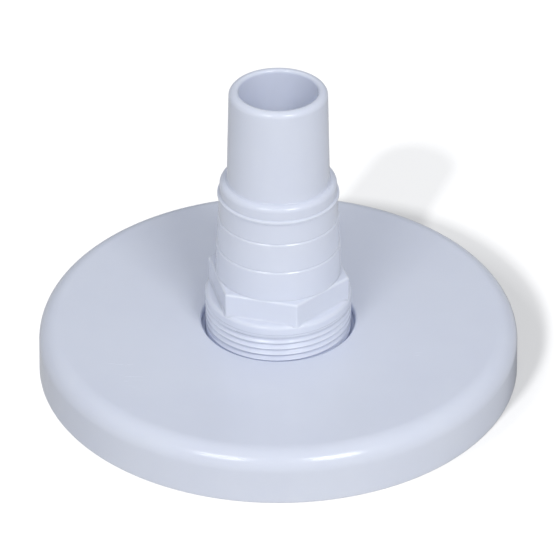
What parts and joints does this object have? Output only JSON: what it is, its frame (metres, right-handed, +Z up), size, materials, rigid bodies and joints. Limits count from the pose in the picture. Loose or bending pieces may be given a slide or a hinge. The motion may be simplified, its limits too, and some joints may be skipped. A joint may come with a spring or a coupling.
{
  "type": "skimmer vacuum plate",
  "caption": "Round pool skimmer vacuum plate with a stepped hose adapter that screws into its centre and unscrews along its axis.",
  "frame": {"origin": "centre of the plate's rim, on the plane that the rim stands on", "axes": "+Z up along the plate's and the thread's axis, out of the hose spigot; the pictured side faces -Y"},
  "size_m": [0.158, 0.158, 0.1017],
  "materials": {
    "plate_abs": "glossy cool white ABS, fine scuffs",
    "socket_abs": "satin cool white ABS",
    "adapter_abs": "glossy cool white ABS, fine scuffs",
    "washer_rubber": "matte black EPDM",
    "gasket_rubber": "dark grey closed-cell sponge rubber"
  },
  "bodies": {
    "plate": {"vacuum_plate": "plate_abs", "threaded_socket": "socket_abs", "rim_gasket": "gasket_rubber"},
    "seal": {"seal_washer": "washer_rubber"},
    "adapter": {"hose_adapter": "adapter_abs"}
  },
  "joints": [
    {"name": "adapter_lift", "type": "slide", "parent": "plate", "child": "seal", "axis": [0, 0, 1], "range_m": [0, 0.0078]},
    {"name": "adapter_turn", "type": "hinge", "parent": "seal", "child": "adapter", "pos_m": [0, 0, 0.0132], "axis": [0, 0, 1], "range_deg": [0, 1260]}
  ],
  "couplings": [
    {"joint": "adapter_lift", "follows": "adapter_turn", "m_per_rad": 0.00035152}
  ]
}
